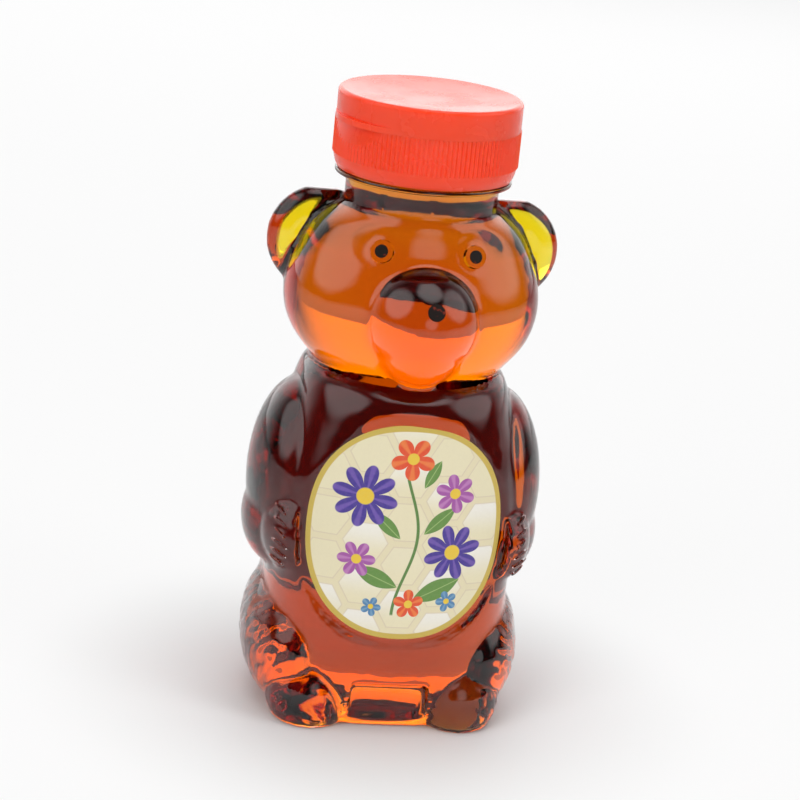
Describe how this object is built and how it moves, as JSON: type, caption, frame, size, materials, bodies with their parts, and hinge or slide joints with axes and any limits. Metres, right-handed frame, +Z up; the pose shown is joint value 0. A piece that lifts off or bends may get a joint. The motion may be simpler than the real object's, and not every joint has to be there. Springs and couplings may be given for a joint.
{
  "type": "honey bear squeeze bottle",
  "caption": "Squeeze bottle shaped as a sitting bear, filled with amber syrup, with front and back labels and a screwed flip-top cap.",
  "frame": {"origin": "middle of the base on the table, on the axis of the neck and cap", "axes": "+Z up along the neck's axis, the bear faces -Y, +X is the bear's left side"},
  "size_m": [0.0698, 0.0649, 0.1451],
  "materials": {
    "clear_bottle": "gloss",
    "amber_syrup": "gloss",
    "label_paper": "satin",
    "black_paint": "gloss",
    "cap_plastic": "satin",
    "liner_foam": "matte"
  },
  "bodies": {
    "bottle": {"bottle_shell": "clear_bottle", "syrup": "amber_syrup", "front_label": "label_paper", "back_label": "label_paper", "left_pupil": "black_paint", "right_pupil": "black_paint", "nose_dot": "black_paint"},
    "liner": {"cap_liner": "liner_foam"},
    "cap": {"cap_base": "cap_plastic", "hinge_strap": "cap_plastic"},
    "lid": {"flip_lid": "cap_plastic"}
  },
  "joints": [
    {"name": "cap_rise", "type": "slide", "parent": "bottle", "child": "liner", "axis": [0, 0, 1], "range_m": [0, 0.0053]},
    {"name": "cap_turn", "type": "hinge", "parent": "liner", "child": "cap", "pos_m": [0, 0, 0.1386], "axis": [0, 0, 1], "range_deg": [0, 450]},
    {"name": "lid_flip", "type": "hinge", "parent": "cap", "child": "lid", "pos_m": [0.01949, 0.00993, 0.1386], "axis": [-0.454, 0.891, 0], "range_deg": [0, 180], "deforming": ["hinge_strap"]}
  ],
  "couplings": [
    {"joint": "cap_rise", "follows": "cap_turn", "m_per_rad": 0.0006737}
  ]
}
